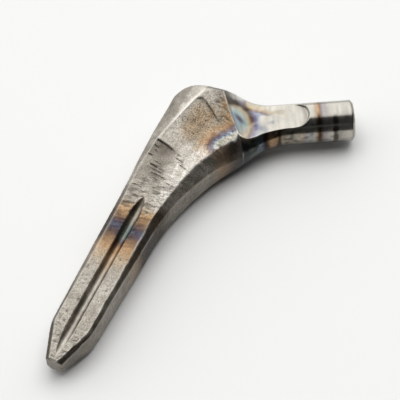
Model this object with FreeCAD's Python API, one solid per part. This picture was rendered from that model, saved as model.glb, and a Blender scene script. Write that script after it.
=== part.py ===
import FreeCAD, Part
import math
import os

# Hip implant stem, forged in one piece. Millimetres and degrees.
# The stem is drawn about its middle plane, z = 0, with the shaft's axis along +X from tip to shoulder,
# +Y to the outer (lateral) side, and the place where the shaft's axis meets the neck's axis at x = y = 0.
# At the end it is laid down on one of its two broad faces, as it lies on a bench.

# Shaft, from the tip towards the shoulder
tip_reach = 96.8
tip_taper_length = 11.8
tip_half_width = 2.85
tip_top = 4.9
tip_side_top = 3.5
tip_side_bottom = 0.8
tip_bottom = 2.6
shaft_half_width = 6.85
half_thickness = 8.0
face_slope_deg = 1.2

# Outer (lateral) side
outer_knee_reach = 27.0
outer_knee_half_width = 8.1
shoulder_half_width = 10.2
shoulder_radius = 9.5
shoulder_reach = 17.3
shoulder_slant_deg = 9.0
crest_length = 6.3
crest_bow = 0.3

# Inner (medial) side
calcar_reach = 44.0
calcar_half_width = 8.1

# Neck and trunnion, measured along the neck's axis from the crossing
neck_angle_deg = 59.8
neck_radius = 7.0
neck_root = 19.5
round_from = 28.0
inner_flare_start = 35.6
inner_flare_radius = 27.5
outer_flare_start = 29.5
outer_flare_radius = 17.0
neck_reach = 56.0
trunnion_chamfer = 0.8
side_arc_deg = 20.0
face_arc_deg = 42.0

# Flats milled on both faces of the neck
flat_height = 5.2
flat_reach = 41.0
mill_radius = 5.5
mill_corner_radius = 1.4
root_line_reach = 15.0
root_line_skew_deg = 11.0
root_blend_radius = 9.0

# Bevels between each broad face and the side walls: width in plan, and drop from the face
tip_bevel_width = 1.15
shaft_bevel_width = 0.95
shaft_bevel_drop = 2.0
knee_bevel_width = 1.45
knee_bevel_drop = 2.1
shoulder_bevel_width = 7.2
shoulder_bevel_drop = 4.4
crest_bevel_width = 3.8
crest_bevel_drop = 4.2
crest_end_bevel_width = 2.7
crest_end_bevel_drop = 4.2
calcar_bevel_width = 2.1
calcar_bevel_drop = 2.6
root_bevel_width = 4.3
root_bevel_drop = 6.4

# Fuller, the long groove in each broad face of the shaft, measured from the crossing
fuller_radius = 1.65
fuller_depth = 1.5
fuller_tip_depth = 0.75
fuller_widens_at = 50.5
fuller_nose_radius = 1.85
fuller_nose_depth = 1.6
fuller_nose_reach = 40.5
fuller_end_reach = 33.3

# Points on each arc of the outline, sections along the neck's root, and the size below which things coincide
arc_spans = 6
neck_spans = 6
nearly = 0.01

slope = math.tan(math.radians(face_slope_deg))
neck_angle = math.radians(neck_angle_deg)
along_neck = FreeCAD.Vector(math.cos(neck_angle), -math.sin(neck_angle), 0)
across_neck = FreeCAD.Vector(math.sin(neck_angle), math.cos(neck_angle), 0)
up = FreeCAD.Vector(0, 0, 1)


def face_height(x):
    return half_thickness + slope * x


def on_neck(reach, offset, z=0.0):
    return along_neck * reach + across_neck * offset + up * z


def on_face(x, y):
    return FreeCAD.Vector(x, y, face_height(x))


def on_side(x, y, drop):
    return FreeCAD.Vector(x, y, face_height(x) - drop)


def mirrored(point):
    return FreeCAD.Vector(point.x, point.y, -point.z)


def line(start, end):
    return Part.LineSegment(start, end).toShape()


def curve(points):
    spline = Part.BSplineCurve()
    spline.interpolate(points)
    return spline.toShape()


def stretch(points):
    return line(*points) if len(points) == 2 else curve(points)


def flare(start, radius, reach):
    """How far a neck side stands out beyond its radius at this reach."""
    run = max(0.0, start - reach)
    return radius - math.sqrt(radius**2 - run**2)


def inner_half_width(reach):
    return neck_radius + flare(inner_flare_start, inner_flare_radius, reach)


def outer_half_width(reach):
    return neck_radius + flare(outer_flare_start, outer_flare_radius, reach)


def tangent_arc(start, direction, end):
    """Points of the arc that leaves start along direction and ends at end, in plan."""
    chord = end - start
    heading = math.atan2(direction.y, direction.x)
    turn = 2 * (math.atan2(chord.y, chord.x) - heading)
    radius = chord.Length / (2 * math.sin(turn / 2))
    points = []
    for i in range(arc_spans + 1):
        angle = turn * i / arc_spans
        forward = radius * math.sin(angle)
        aside = radius * (1 - math.cos(angle))
        x = start.x + forward * math.cos(heading) - aside * math.sin(heading)
        y = start.y + forward * math.sin(heading) + aside * math.cos(heading)
        points.append(FreeCAD.Vector(x, y, 0))
    return points


def shoulder_points():
    """Plan of the outer shoulder's rounding, from the side wall round to the crest."""
    slant = math.radians(shoulder_slant_deg)
    lean = math.atan((shoulder_half_width - outer_knee_half_width) / outer_knee_reach)
    turn = math.pi / 2 + lean - slant
    setback = shoulder_radius * math.tan(turn / 2)
    corner = FreeCAD.Vector(shoulder_reach - shoulder_half_width * math.tan(slant), shoulder_half_width, 0)
    arriving = FreeCAD.Vector(math.cos(lean), math.sin(lean), 0)
    leaving = FreeCAD.Vector(math.sin(slant), -math.cos(slant), 0)
    return tangent_arc(corner - arriving * setback, arriving, corner + leaving * setback)


def levels(edge, side):
    """Point lists of one stretch from top to bottom: face edge, side edge, and their mirror images."""
    return [edge, side, [mirrored(point) for point in side], [mirrored(point) for point in edge]]


def tip_corner(direction):
    """The four points of the tip's outer (1) or inner (-1) side, from top to bottom."""
    edge = direction * (tip_half_width - tip_bevel_width)
    side = direction * tip_half_width
    heights = [(edge, tip_top), (side, tip_side_top), (side, -tip_side_bottom), (edge, -tip_bottom)]
    return [FreeCAD.Vector(-tip_reach, y, z) for y, z in heights]


def taper_corner(direction):
    """The four points where the tip's taper meets the shaft, on the outer (1) or inner (-1) side."""
    x = tip_taper_length - tip_reach
    edge = on_face(x, direction * (shaft_half_width - shaft_bevel_width))
    side = on_side(x, direction * shaft_half_width, shaft_bevel_drop)
    return [edge, side, mirrored(side), mirrored(edge)]


def outer_stretches():
    """The outer side's stretches of the outline from the taper to the neck's root."""
    rounding = shoulder_points()
    start = rounding[0]
    end = rounding[-1]
    knee = -outer_knee_reach
    slant = math.radians(shoulder_slant_deg)
    taper_edge, taper_side = taper_corner(1)[:2]
    knee_side = on_side(knee, outer_knee_half_width, knee_bevel_drop)
    knee_edge = on_face(knee, outer_knee_half_width - knee_bevel_width)
    shoulder_side = on_side(start.x, start.y, shoulder_bevel_drop)
    shoulder_edge = on_face(start.x, start.y - shoulder_bevel_width)
    crest_side = on_side(end.x, end.y, crest_bevel_drop)
    crest_edge = on_face(end.x - crest_bevel_width, end.y)
    stop = end + FreeCAD.Vector(math.sin(slant), -math.cos(slant), 0) * crest_length
    stop_side = on_side(stop.x, stop.y, crest_end_bevel_drop)
    stop_edge = on_face(stop.x - crest_end_bevel_width, stop.y)
    root_edge, root_side = root_bevel_ends(1)

    # The face's edge runs in towards the crest while the side wall stays nearly straight
    knee_bow = (knee_edge + shoulder_edge) * 0.5
    knee_bow = on_face(knee_bow.x, knee_bow.y + knee_bevel_width / 2)
    rounding_bow = (shoulder_edge + crest_edge) * 0.5
    rounding_bow = on_face(rounding_bow.x + crest_bow, rounding_bow.y + crest_bow)
    root_bow = (stop_side + root_side) * 0.5 + FreeCAD.Vector(crest_bow, 0, 0)
    shoulder_side_points = []
    for i, spot in enumerate(rounding):
        share = i / (len(rounding) - 1)
        drop = shoulder_bevel_drop + (crest_bevel_drop - shoulder_bevel_drop) * share
        shoulder_side_points.append(on_side(spot.x, spot.y, drop))

    return [
        levels([taper_edge, knee_edge], [taper_side, knee_side]),
        levels([knee_edge, knee_bow, shoulder_edge], [knee_side, shoulder_side]),
        levels([shoulder_edge, rounding_bow, crest_edge], shoulder_side_points),
        levels([crest_edge, stop_edge], [crest_side, stop_side]),
        levels([stop_edge, root_edge], [stop_side, root_bow, root_side]),
    ]


def inner_stretches():
    """The inner side's stretches, from the neck's root down the calcar's bow to the taper."""
    start = -calcar_reach
    taper_edge, taper_side = taper_corner(-1)[:2]
    calcar_side = on_side(start, -calcar_half_width, calcar_bevel_drop)
    calcar_edge = on_face(start, calcar_bevel_width - calcar_half_width)
    root_edge, root_side = root_bevel_ends(-1)
    end = FreeCAD.Vector(root_side.x, root_side.y, 0)
    shaft_line = calcar_side - taper_side
    bow = tangent_arc(FreeCAD.Vector(start, -calcar_half_width, 0), shaft_line, end)
    side = []
    edge = []
    for i, spot in enumerate(bow):
        share = i / (len(bow) - 1)
        drop = calcar_bevel_drop + (root_bevel_drop - calcar_bevel_drop) * share
        width = calcar_bevel_width + (root_bevel_width - calcar_bevel_width) * share
        heading = bow[min(i + 1, len(bow) - 1)] - bow[max(i - 1, 0)]
        heading.normalize()
        side.append(on_side(spot.x, spot.y, drop))
        edge.append(on_face(spot.x - heading.y * width, spot.y + heading.x * width))
    side = [calcar_side] + side[1:-1] + [root_side]
    edge = [calcar_edge] + edge[1:-1] + [root_edge]
    return [
        levels(edge[::-1], side[::-1]),
        levels([calcar_edge, taper_edge], [calcar_side, taper_side]),
    ]


def make_body():
    """Shaft and shoulder: two sloping broad faces, bevels and side walls, drawn as ruled faces."""
    tip_outer = tip_corner(1)
    tip_inner = tip_corner(-1)
    taper_outer = taper_corner(1)
    taper_inner = taper_corner(-1)
    outer_root = levels(*[[point] for point in root_bevel_ends(1)])
    inner_root = levels(*[[point] for point in root_bevel_ends(-1)])
    root = [near + far for near, far in zip(outer_root, inner_root)]
    block = outer_stretches() + [root] + inner_stretches()
    tip = [
        list(zip(taper_inner, tip_inner)),
        list(zip(tip_inner, tip_outer)),
        list(zip(tip_outer, taper_outer)),
    ]
    faces = []
    for rows in block + tip:
        lines = [stretch(list(row)) for row in rows]
        for upper, lower in zip(lines, lines[1:]):
            faces.append(Part.makeRuledSurface(upper, lower))
    for level in (0, 3):
        crease = line(taper_inner[level], taper_outer[level])
        broad = [stretch(rows[level]) for rows in block]
        narrow = [stretch(list(rows[level])) for rows in tip]
        faces.append(Part.Face(Part.Wire(broad + [crease])))
        faces.append(Part.Face(Part.Wire(narrow + [crease])))
    shell = Part.makeShell(faces)
    shell.sewShape()
    return Part.makeSolid(shell)


def root_bevel_ends(direction):
    """Face edge and side edge of the bevel at the neck's root, on the outer (1) or inner (-1) side."""
    half_width = outer_half_width(neck_root) if direction > 0 else inner_half_width(neck_root)
    edge = on_neck(neck_root, direction * (half_width - root_bevel_width))
    side = on_neck(neck_root, direction * half_width)
    return on_face(edge.x, edge.y), on_side(side.x, side.y, root_bevel_drop)


def as_offset(point):
    return point.dot(across_neck), point.z


def blend(first, last, share):
    return tuple(a + (b - a) * share for a, b in zip(first, last))


def neck_section(reach):
    """Closed outline of the neck at this reach, eight-sided at the root like the block, then round."""
    share = min(1.0, max(0.0, (reach - neck_root) / (round_from - neck_root)))
    share = share * share * (3 - 2 * share)
    inner_edge, inner_side = [as_offset(point) for point in root_bevel_ends(-1)]
    outer_edge, outer_side = [as_offset(point) for point in root_bevel_ends(1)]
    inner = inner_half_width(reach)
    outer = outer_half_width(reach)
    inward = inner_half_width(neck_root) - inner
    outward = outer_half_width(neck_root) - outer

    def around(degrees):
        angle = math.radians(degrees)
        width = outer if abs(degrees) < 90 else inner
        return width * math.cos(angle), neck_radius * math.sin(angle)

    def mixed(blocky, degrees):
        shift = -outward if blocky[0] > 0 else inward
        return blend((blocky[0] + shift, blocky[1]), around(degrees), share)

    side = mixed(outer_side, side_arc_deg)
    rim = mixed(outer_edge, 90 - face_arc_deg)
    far_rim = mixed(inner_edge, 90 + face_arc_deg)
    far_side = mixed(inner_side, 180 - side_arc_deg)
    bevel_degrees = (side_arc_deg + 90 - face_arc_deg) / 2
    bevel = mixed(blend(outer_side, outer_edge, 0.5), bevel_degrees)
    far_bevel = mixed(blend(inner_side, inner_edge, 0.5), 180 - bevel_degrees)
    top_middle = blend(rim, far_rim, 0.5)
    crown = blend(top_middle, (top_middle[0], neck_radius), share)
    upper = [side, bevel, rim, crown, far_rim, far_bevel, far_side]
    lower = [(offset, -height) for offset, height in upper[::-1]]
    ring = upper + [(-inner, 0)] + lower + [(outer, 0)]
    points = [on_neck(reach, offset, height) for offset, height in ring]
    edges = []
    for i in range(0, len(points), 2):
        start = points[i]
        middle = points[i + 1]
        end = points[(i + 2) % len(points)]
        edges.append(line(start, end) if share == 0 else Part.Arc(start, middle, end).toShape())
    return Part.Wire(edges)


def make_neck():
    """Flared root of the neck, from the block's form to round, and the round trunnion."""
    step = (round_from - neck_root) / neck_spans
    reaches = [neck_root + step * i for i in range(neck_spans + 1)]
    reaches += [(round_from + inner_flare_start) / 2, inner_flare_start]
    flared = Part.makeLoft([neck_section(reach) for reach in reaches], True, False)
    length = neck_reach - inner_flare_start
    trunnion = Part.makeCylinder(neck_radius, length, on_neck(inner_flare_start, 0), along_neck)
    end_edges = [
        edge for edge in trunnion.Edges
        if (edge.CenterOfMass - on_neck(neck_reach, 0)).Length < nearly
    ]
    trunnion = trunnion.makeChamfer(trunnion_chamfer, end_edges)
    return [flared, trunnion]


def make_flat_cutters():
    """What the mill takes off above the neck: a blend at the root, then a flat that ends round."""
    skew = math.radians(root_line_skew_deg)
    forward = along_neck * math.cos(skew) + across_neck * math.sin(skew)
    aside = across_neck * math.cos(skew) - along_neck * math.sin(skew)
    radius = root_blend_radius
    rise = face_height(0) - flat_height
    run = math.sqrt(radius**2 - (radius - rise) ** 2)
    width = 2 * inner_half_width(root_line_reach)
    foot = on_neck(root_line_reach, 0, flat_height) + forward * run - aside * width
    brow = foot - forward * radius + up * radius
    middle = foot + up * radius - (forward + up) * radius * math.sqrt(0.5)
    far_foot = foot + forward * radius
    outline = [
        Part.Arc(foot, middle, brow).toShape(),
        line(brow, far_foot + up * radius),
        line(far_foot + up * radius, far_foot),
        line(far_foot, foot),
    ]
    root_cutter = Part.Face(Part.Wire(outline)).extrude(aside * 2 * width)

    start = root_line_reach + run + mill_radius
    wide = inner_half_width(start - mill_radius)
    mill_reach = flat_reach - mill_radius
    corners = [
        on_neck(start, wide, flat_height),
        on_neck(start, -wide, flat_height),
        on_neck(mill_reach, -mill_radius, flat_height),
        on_neck(mill_reach, mill_radius, flat_height),
    ]
    flat_cutter = Part.Face(Part.makePolygon(corners + corners[:1])).extrude(up * radius)
    mill = Part.makeCylinder(mill_radius, radius, on_neck(mill_reach, 0, flat_height), up)
    bottom_edges = [edge for edge in mill.Edges if abs(edge.BoundBox.ZMax - flat_height) < nearly]
    mill = mill.makeFillet(mill_corner_radius, bottom_edges)
    return [root_cutter, flat_cutter, mill]


def make_fuller():
    """Round-bottomed groove that runs out of the tip's slope and ends in a slightly wider, rounded nose."""
    nose_slope = fuller_nose_depth / (fuller_nose_reach - fuller_end_reach)
    beyond = fuller_nose_radius
    stations = [
        (-tip_reach, fuller_radius, fuller_tip_depth),
        (tip_taper_length - tip_reach, fuller_radius, fuller_depth),
        (-fuller_widens_at, fuller_radius, fuller_depth),
        (-fuller_nose_reach, fuller_nose_radius, fuller_nose_depth),
        (-fuller_end_reach + beyond, fuller_nose_radius, -nose_slope * beyond),
    ]
    rings = []
    for x, radius, depth in stations:
        centre = FreeCAD.Vector(x, 0, face_height(x) + radius - depth)
        rings.append(Part.Wire(Part.Circle(centre, FreeCAD.Vector(1, 0, 0), radius).toShape()))
    return Part.makeLoft(rings, True, True)


def on_both_faces(tools):
    plane = FreeCAD.Vector(0, 0, 0)
    return tools + [tool.mirror(plane, up) for tool in tools]


def make_stem():
    stem = make_body()
    for piece in make_neck():
        stem = stem.fuse(piece)
    for tool in on_both_faces(make_flat_cutters() + [make_fuller()]):
        stem = stem.cut(tool)
    return stem.removeSplitter()


def lay_down(shape):
    """Turns the stem onto its lower broad face, with that face at z = 0 under the crossing."""
    shape = shape.copy()
    shape.rotate(FreeCAD.Vector(0, 0, 0), FreeCAD.Vector(0, 1, 0), -face_slope_deg)
    shape.translate(up * half_thickness * math.cos(math.radians(face_slope_deg)))
    return shape


os.makedirs("parts", exist_ok=True)
hip_stem = lay_down(make_stem())
print("valid", hip_stem.isValid(), "solids", len(hip_stem.Solids), "volume", round(hip_stem.Volume, 1))
box = hip_stem.BoundBox
print("box", [round(v, 2) for v in (box.XMin, box.YMin, box.ZMin, box.XMax, box.YMax, box.ZMax)])
hip_stem.exportStep("parts/hip_stem.step")
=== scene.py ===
import bmesh
import bpy
import math
import numpy as np
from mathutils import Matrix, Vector


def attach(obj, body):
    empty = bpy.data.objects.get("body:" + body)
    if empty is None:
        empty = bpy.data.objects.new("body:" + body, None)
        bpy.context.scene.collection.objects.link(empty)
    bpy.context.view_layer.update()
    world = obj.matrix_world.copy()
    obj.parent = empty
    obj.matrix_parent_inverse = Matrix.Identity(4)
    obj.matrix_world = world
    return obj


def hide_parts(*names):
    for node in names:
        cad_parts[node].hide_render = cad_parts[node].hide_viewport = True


# A forged hip stem on a pale bench. The stem is worked out in millimetres about its own middle plane,
# with +X from tip to shoulder and +Y to the outer side, then laid down on its lower face, in metres.

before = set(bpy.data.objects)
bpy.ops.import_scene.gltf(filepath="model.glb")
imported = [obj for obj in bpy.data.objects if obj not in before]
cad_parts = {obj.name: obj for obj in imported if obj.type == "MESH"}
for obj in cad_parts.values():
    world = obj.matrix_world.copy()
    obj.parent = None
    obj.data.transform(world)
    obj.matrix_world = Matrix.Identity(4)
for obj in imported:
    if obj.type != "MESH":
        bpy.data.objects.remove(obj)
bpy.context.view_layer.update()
print("frame loaded")


def linearColour(hexCode):
    channels = [int(hexCode[i:i + 2], 16) / 255 for i in (1, 3, 5)]
    return [c / 12.92 if c <= 0.04045 else ((c + 0.055) / 1.055) ** 2.4 for c in channels] + [1.0]


def addNode(tree, kind, links=None, **settings):
    node = tree.nodes.new(kind)
    for name, value in settings.items():
        setattr(node, name, value)
    for socket, value in (links or {}).items():
        if isinstance(value, bpy.types.NodeSocket):
            tree.links.new(value, node.inputs[socket])
        else:
            node.inputs[socket].default_value = value
    return node


def smoothStep(low, high, value):
    share = np.clip((np.asarray(value, float) - low) / (high - low), 0, 1)
    return share * share * (3 - 2 * share)


def hump(value, centre, half):
    # a smooth bump, 1 at its centre and 0.37 at half
    return np.exp(-((value - centre) / half) ** 2)


def easedTable(rows, where):
    # monotone cubic through (place, value) rows, so nothing overshoots between them
    xs = np.array([row[0] for row in rows], float)
    ys = np.array([row[1] for row in rows], float)
    steps = np.diff(xs)
    rises = np.diff(ys) / steps
    slopes = np.zeros(len(xs))
    slopes[0], slopes[-1] = rises[0], rises[-1]
    for i in range(1, len(xs) - 1):
        if rises[i - 1] * rises[i] > 0:
            a = 2 * steps[i] + steps[i - 1]
            b = steps[i] + 2 * steps[i - 1]
            slopes[i] = (a + b) / (a / rises[i - 1] + b / rises[i])
    where = np.clip(np.asarray(where, float), xs[0], xs[-1])
    k = np.clip(np.searchsorted(xs, where, side="right") - 1, 0, len(xs) - 2)
    t = (where - xs[k]) / steps[k]
    return (ys[k] * (1 + 2 * t) * (1 - t) ** 2 + steps[k] * slopes[k] * t * (1 - t) ** 2
            + ys[k + 1] * t * t * (3 - 2 * t) + steps[k] * slopes[k + 1] * t * t * (t - 1))


def valueNoise(points, size, seed):
    # smooth lattice noise from -1 to 1; size is the lattice step in millimetres, one number or one per axis
    cell = np.asarray(points, float) / np.asarray(size, float)
    base = np.floor(cell).astype(np.int64)
    part = cell - base
    part = part * part * (3 - 2 * part)
    total = np.zeros(len(cell))
    corners = range(2 ** cell.shape[1])
    primes = (73856093, 19349663, 83492791)
    for corner in corners:
        weight = np.ones(len(cell))
        key = np.full(len(cell), seed * 2654435761 % 4294967296, np.int64)
        for axis in range(cell.shape[1]):
            bit = corner >> axis & 1
            weight *= part[:, axis] if bit else 1 - part[:, axis]
            key ^= (base[:, axis] + bit) * primes[axis]
        key = (key ^ key >> 13) & 0x7fffffff
        key = key * 1274126177 & 0x7fffffff
        key = (key ^ key >> 16) * 668265263 & 0x7fffffff
        total += weight * ((key ^ key >> 15) / 0x7fffffff * 2 - 1)
    return total


def pathNear(points, path):
    # distance to a path, how far along it the nearest place is, and which side of it the point is on
    path = np.asarray(path, float)
    best = np.full(len(points), 1e9)
    along = np.zeros(len(points))
    side = np.zeros(len(points))
    run = 0.0
    for a, b in zip(path, path[1:]):
        d = b - a
        length = np.hypot(*d)
        rel = points - a
        t = np.clip(rel @ d / length ** 2, 0, 1)
        off = rel - t[:, None] * d
        far = np.hypot(off[:, 0], off[:, 1])
        near = far < best
        cross = d[0] * rel[:, 1] - d[1] * rel[:, 0]
        best[near] = far[near]
        along[near] = run + t[near] * length
        side[near] = np.sign(cross[near])
        run += length
    return best, along / run, side


# the stem's form: plan outlines, bevels, neck, flats and grooves, in millimetres
stem = {
    "tipReach": 96.8, "taperStart": 85.0, "halfThickness": 8.0, "faceSlope": 1.2,
    "shoulderCentre": (7.67, 0.05), "shoulderRadius": 9.5,
    "neckAngle": 59.8, "neckRadius": 7.0, "neckReach": 56.0, "endChamfer": 0.8,
    "innerFlare": (35.6, 27.5), "outerFlare": (29.5, 17.0),
    "flatHeight": 5.2, "runOutRadius": 9.0,
    "millCentre": 35.5, "millRadius": 5.5, "millCorner": 1.4,
    "rootLine": ((15.45, -5.99), (0.64, -19.03)), "rootLineBow": 0.25,
    "flatHalf": 4.69, "millDrop": 2.9, "millLip": 1.4, "tipHeights": (4.9, 2.6),
    "stations": 670, "edgeSoftness": 0.5,
    # places where sections stand closer together: centre, half width and how much closer
    "closer": [(-23, 11, 1.4), (3, 7, 0.8), (-86, 3, 0.6), (12, 4, 0.9), (35.5, 2.2, 0.9), (51.2, 0.7, 1.5),
               (-96.4, 0.5, 1.5)],
}

slope = math.tan(math.radians(stem["faceSlope"]))
neckAngle = math.radians(stem["neckAngle"])
alongNeck = np.array([math.cos(neckAngle), -math.sin(neckAngle)])
acrossNeck = np.array([math.sin(neckAngle), math.cos(neckAngle)])


def flaredHalf(reach, flare):
    run = np.maximum(0, flare[0] - np.asarray(reach, float))
    return stem["neckRadius"] + flare[1] - np.sqrt(flare[1] ** 2 - run ** 2)


def onNeck(reach, offset):
    return np.outer(reach, alongNeck) + np.outer(offset, acrossNeck)


def outerOutline():
    centre = np.array(stem["shoulderCentre"])
    turn = np.radians(np.linspace(94.45, 9, 40))
    arc = centre + stem["shoulderRadius"] * np.column_stack([np.cos(turn), np.sin(turn)])
    shaft = np.array([(-96.8, 2.85), (-92.2, 4.55), (-88.2, 5.98), (-86.2, 6.55), (-84.2, 6.86),
                      (-79.3, 7.0), (-65, 7.3), (-50, 7.64), (-35, 7.93), (-27, 8.1), (-19, 8.65),
                      (-13, 9.05), (-9, 9.3), (-3, 9.45)])
    crest = np.array([(18.1, -5.03), (18.7, -8.2)])
    reach = np.linspace(20.5, stem["neckReach"], 80)
    return np.vstack([shaft, arc, crest, onNeck(reach, flaredHalf(reach, stem["outerFlare"]))])


def innerOutline():
    start, end = np.array([-44.0, -8.1]), np.array([-0.74, -22.99])
    heading = math.atan2(-1.25, 41.0)
    chord = end - start
    turn = 2 * (math.atan2(chord[1], chord[0]) - heading)
    radius = np.hypot(*chord) / (2 * math.sin(turn / 2))
    angles = np.linspace(0, turn, 60)
    forward, aside = radius * np.sin(angles), radius * (1 - np.cos(angles))
    arc = start + np.column_stack([forward * math.cos(heading) - aside * math.sin(heading),
                                   forward * math.sin(heading) + aside * math.cos(heading)])
    shaft = np.array([(-96.8, -2.85), (-92.2, -4.4), (-88.2, -5.76), (-86.2, -6.4), (-84.2, -6.8),
                      (-79.3, -7.02)])
    reach = np.linspace(20.0, stem["neckReach"], 80)
    return np.vstack([shaft, arc, onNeck(reach, -flaredHalf(reach, stem["innerFlare"]))])


def lengthsOf(path):
    return np.concatenate([[0], np.cumsum(np.hypot(*np.diff(path, axis=0).T))])


def nearestLength(path, point):
    # how far along the path its nearest place to the point lies
    lengths = lengthsOf(path)
    _, share, _ = pathNear(np.array([point], float), path)
    return share[0] * lengths[-1]


def alongPath(path, where):
    lengths = lengthsOf(path)
    return np.column_stack([np.interp(where, lengths, path[:, k]) for k in (0, 1)])


outer, inner = outerOutline(), innerOutline()

# each section joins a place on the outer outline to one on the inner outline; they fan round the shoulder
# so that one of them lies on the crisp line where the neck's flat begins
rootStation, neckStation, endStation = 10.0, 26.0, 52.0
fan = [(-96.8, (-96.8, 2.85), (-96.8, -2.85)), (-85, (-85, 6.85), (-85, -6.85)),
       (-60, (-60, 7.4), (-60, -7.6)), (-44, (-44, 7.8), (-44, -8.1)),
       (-16, (-16, 8.65), (-16.5, -13.2)), (rootStation, (17.85, -3.88), (-2.5, -21.75)),
       (neckStation, tuple(onNeck([30], [7.0])[0]), tuple(onNeck([30], [-7.58])[0])),
       (endStation, tuple(onNeck([56], [7.0])[0]), tuple(onNeck([56], [-7.0])[0]))]
outerKeys = [(key, nearestLength(outer, a)) for key, a, _ in fan]
innerKeys = [(key, nearestLength(inner, b)) for key, _, b in fan]


def stationPlaces():
    # closer together over the marks, the tip's corner, the root line and the flat's end
    spots = np.linspace(-stem["tipReach"], endStation, 4000)
    weight = 1 - 0.45 * smoothStep(-90, -84, spots) * (1 - smoothStep(-50, -44, spots))
    weight -= 0.35 * smoothStep(14, 18, spots) * (1 - smoothStep(31, 33, spots))
    for centre, half, extra in stem["closer"]:
        weight += extra * hump(spots, centre, half)
    total = np.concatenate([[0], np.cumsum((weight[1:] + weight[:-1]) / 2)])
    places = np.interp(np.linspace(0, total[-1], stem["stations"]), total, spots)
    for exact in (-85.0, rootStation, 34.45, 51.2):
        places[np.argmin(abs(places - exact))] = exact
    return places


places = stationPlaces()
outerEnds = alongPath(outer, easedTable(outerKeys, places))
innerEnds = alongPath(inner, easedTable(innerKeys, places))

# where the upper face stops, read along both sides
outerFaceEdge = np.array([(-97.5, 1.35), (-84.9, 5.75), (-80.6, 5.95), (-60, 5.8), (-45.6, 5.95),
                          (-30, 6.45), (-24, 6.72), (-19.4, 6.5), (-16.3, 6.25), (-13.2, 6.1),
                          (-10.3, 5.95), (-7.2, 5.2), (-4.6, 4.6), (-1.2, 3.85), (2, 3.1), (4.15, 2.6),
                          (6.7, 1.95), (9, 1.35), (11.7, 0.5), (13.2, -0.2), (14.4, -2.2), (15.45, -5.99),
                          (18, -15)])
innerFaceEdge = np.array([(-97.5, -1.0), (-85.2, -5.72), (-79.7, -5.85), (-71.8, -6.0), (-62.5, -5.98),
                          (-48.1, -5.95), (-40.8, -5.98), (-38.3, -6.1), (-34.8, -6.54), (-31.7, -6.86),
                          (-29, -7.35), (-26.3, -7.84), (-23.4, -8.26), (-20.6, -8.75), (-17.5, -9.2),
                          (-15.3, -9.83), (-13.2, -10.67), (-10.5, -11.8), (-8.2, -12.9), (-5.5, -14.6),
                          (-3.1, -16.5), (-0.8, -18.1), (0.64, -19.03), (4, -22)])


def crossing(start, end, path):
    # share of the way from start to end at which the path is crossed
    d = end - start
    for a, b in zip(path, path[1:]):
        e = b - a
        det = d[0] * e[1] - d[1] * e[0]
        if abs(det) < 1e-12:
            continue
        t = ((a[0] - start[0]) * e[1] - (a[1] - start[1]) * e[0]) / det
        u = ((a[0] - start[0]) * d[1] - (a[1] - start[1]) * d[0]) / det
        if -1e-9 <= u <= 1 + 1e-9 and -0.05 <= t <= 1.05:
            return t
    return None


# bevels along the stem: drop of the side edge below the face, and how round the bevel is, from 0 for straight
# to 1 for a quarter ellipse
bevel = {
    "outerDrop": [(-96.8, 1.2), (-85, 1.3), (-45, 1.5), (-27, 1.7), (-14, 2.6), (-2, 4.1), (6, 4.2),
                  (10, 4.2), (16, 5.6), (23, 7.0), (52, 7.0)],
    "innerDrop": [(-96.8, 1.7), (-85, 1.3), (-60, 1.5), (-44, 1.95), (-20, 3.1), (-6, 4.0), (4, 5.0),
                  (10, 5.8), (22, 7.0), (52, 7.0)],
    "outerRound": [(-96.8, 0), (-27, 0.0), (-14, 0.15), (-4, 0.35), (4, 0.45), (10, 0.4), (20, 1), (52, 1)],
    "innerRound": [(-96.8, 0), (-40, 0.0), (-20, 0.1), (0, 0.4), (10, 0.7), (18, 1), (52, 1)],
    "outerNeckShare": [(-96.8, 0), (10, 0), (20, 1), (52, 1)],
    "innerNeckShare": [(-96.8, 0), (6, 0), (17, 1), (52, 1)],
}
groove = {
    "radius": [(-96.8, 1.65), (-85, 1.65), (-50.5, 1.65), (-40.5, 1.85), (-31.4, 1.85)],
    "depth": [(-96.8, 0.75), (-85, 1.5), (-50.5, 1.5), (-40.5, 1.6), (-33.3, 0.0), (-31.4, -0.42)],
    "end": -33.3,
}


def straightTable(rows, where):
    return np.interp(where, [r[0] for r in rows], [r[1] for r in rows])


rootA, rootB = [np.array(p) for p in stem["rootLine"]]
rootAlong = (rootB - rootA) / np.hypot(*(rootB - rootA))
rootAcross = np.array([-rootAlong[1], rootAlong[0]])
if rootAcross @ alongNeck < 0:
    rootAcross = -rootAcross
runOut = math.sqrt(stem["runOutRadius"] ** 2 - (stem["runOutRadius"] - stem["millDrop"]) ** 2)


def pastRootLine(points):
    rel = points - rootA
    share = np.clip(rel @ rootAlong / np.hypot(*(rootB - rootA)), 0, 1)
    return rel @ rootAcross + stem["rootLineBow"] * 4 * share * (1 - share)


def milledHeight(points, faceHeight):
    # height left by the mill: a hollow run-out from the root line, then the flat, then its round end
    past = pastRootLine(points)
    radius = stem["runOutRadius"]
    back = np.clip(runOut - past, 0, runOut)
    hollow = (radius - np.sqrt(radius ** 2 - back ** 2)) / stem["millDrop"]
    height = stem["flatHeight"] + (faceHeight - stem["flatHeight"]) * hollow
    reach, offset = points @ alongNeck, points @ acrossNeck
    ring = np.hypot(np.maximum(reach - stem["millCentre"], 0), offset * (reach > stem["millCentre"]))
    corner = stem["millCorner"]
    rise = np.clip(ring - (stem["millRadius"] - corner), 0, corner)
    height = height + (corner - np.sqrt(corner ** 2 - rise ** 2)) * stem["millLip"]
    # 99 stands for uncut metal, above everything
    height = np.where(ring > stem["millRadius"], 99, height)
    return np.where(past < -1e-6, 99, height)


# points round one section, from the middle of the inner side over the top to the middle of the outer side
upperCounts = {"wall": 6, "bevel": 12, "face": 25, "groove": 14}
lowerCounts = {"wall": 3, "bevel": 5, "face": 10, "groove": 7}


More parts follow.
